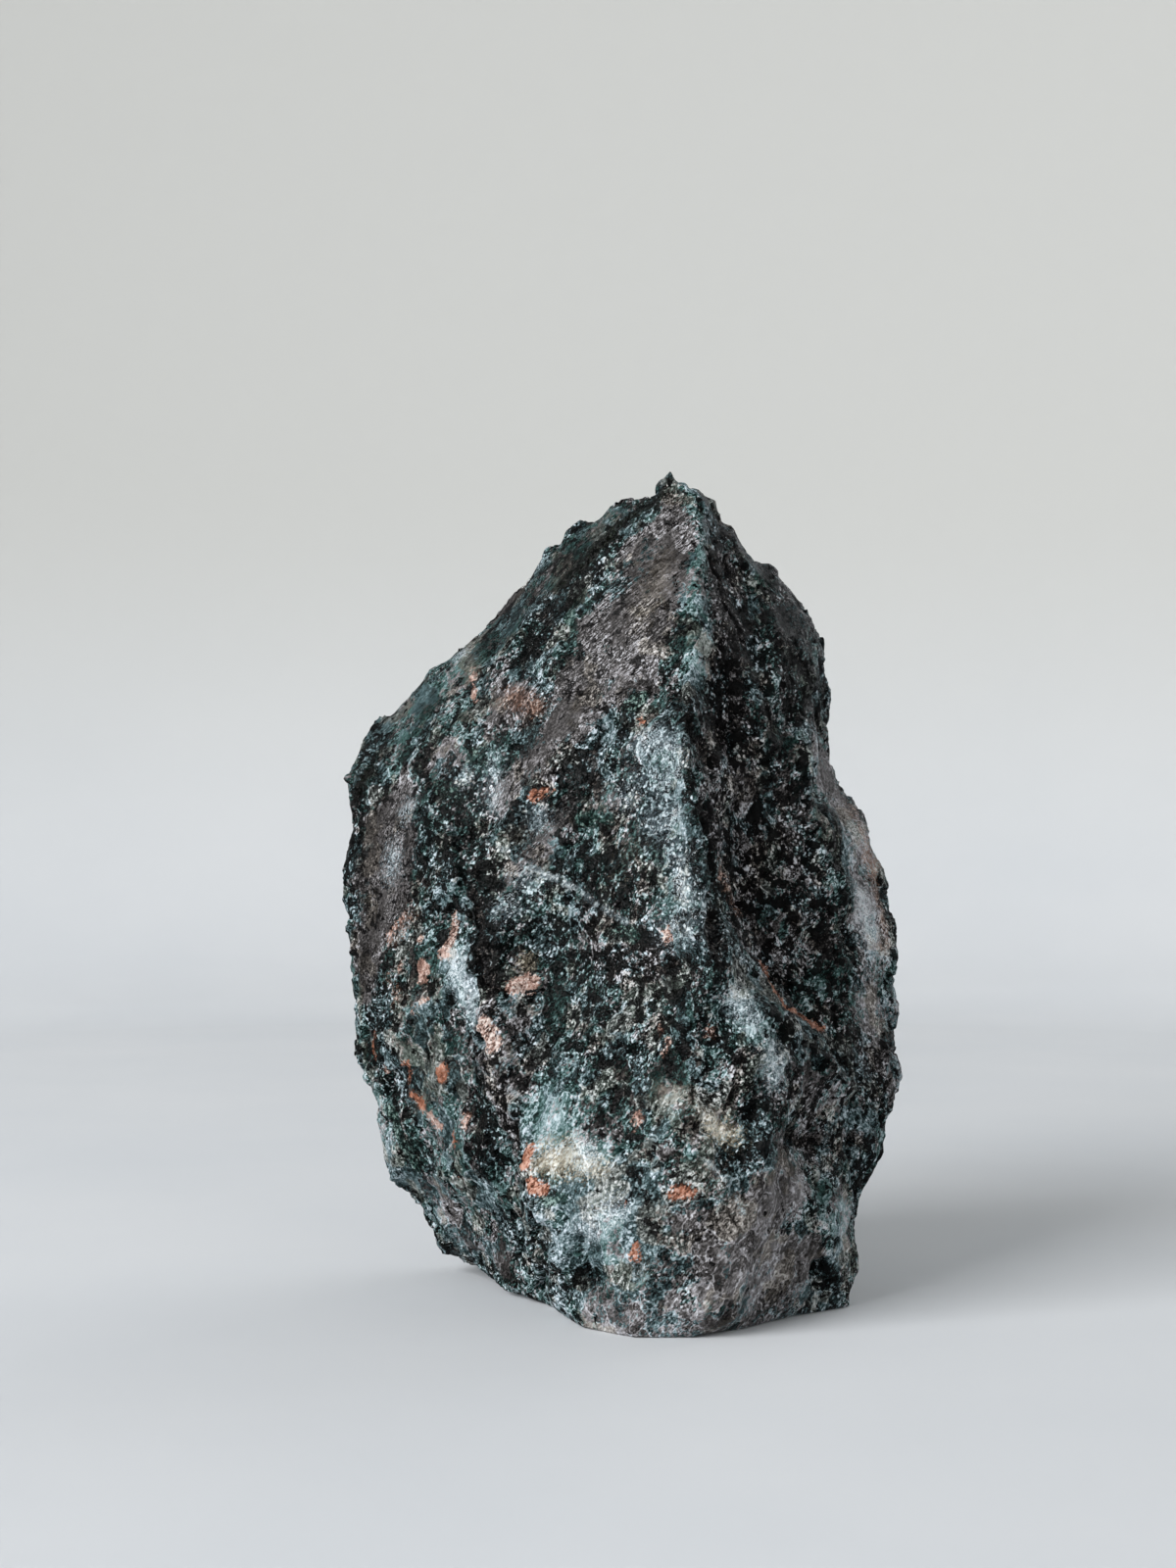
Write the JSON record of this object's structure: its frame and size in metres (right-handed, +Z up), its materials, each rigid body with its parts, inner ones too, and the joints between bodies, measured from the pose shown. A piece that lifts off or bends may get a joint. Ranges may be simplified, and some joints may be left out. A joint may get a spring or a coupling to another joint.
{
  "type": "apatite specimen",
  "caption": "Rough, hand-sized mineral specimen of massive green apatite, broken to a pointed top, that stands on a small flat underneath for display.",
  "frame": {"origin": "middle of the stone's width and depth, on the plane that it stands on", "axes": "+Z up to the pointed top, -Y out of the broken front that the picture shows, +X to the right in the picture"},
  "size_m": [0.0852, 0.068, 0.1232],
  "materials": {
    "apatite": "rough broken rock, mottled dark green and black with pale blue-green streaks, salmon grains and glassy specks"
  },
  "bodies": {
    "root": {"apatite_stone": "apatite"}
  },
  "joints": []
}
